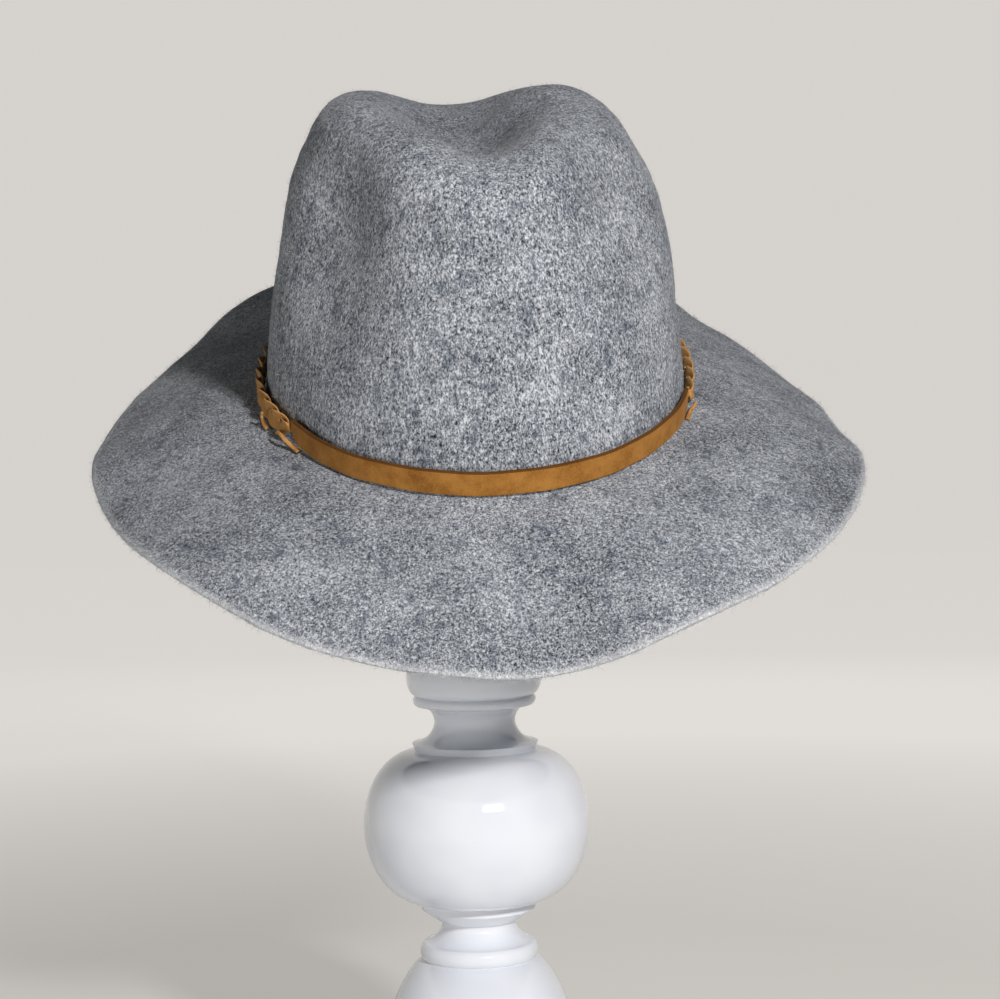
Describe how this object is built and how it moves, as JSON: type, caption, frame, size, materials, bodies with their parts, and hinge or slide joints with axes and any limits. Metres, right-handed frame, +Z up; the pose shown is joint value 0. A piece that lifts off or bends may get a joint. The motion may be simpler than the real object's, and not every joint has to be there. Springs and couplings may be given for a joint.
{
  "type": "floppy wool hat on a display stand",
  "caption": "Floppy wool felt hat with a creased crown, a wavy brim and a suede band that is plaited behind, pitched forward on a glazed turned stand.",
  "frame": {"origin": "middle of the stand's foot, on the surface that it stands on", "axes": "+Z up, the hat's front towards -Y, the wearer's left towards +X"},
  "size_m": [0.3114, 0.2965, 0.4141],
  "materials": {
    "felt": "heathered grey wool felt, brushed",
    "suede": "tan suede, napped",
    "glaze": "white glaze, glossy",
    "post": "bare turned wood"
  },
  "bodies": {
    "root": {"felt_body": "felt", "band_strap": "suede", "plait_strand_1": "suede", "plait_strand_2": "suede", "plait_strand_3": "suede", "lace_end_right_1": "suede", "lace_end_right_2": "suede", "lace_end_left_1": "suede", "display_stand": "glaze", "hat_post": "post"}
  },
  "joints": []
}
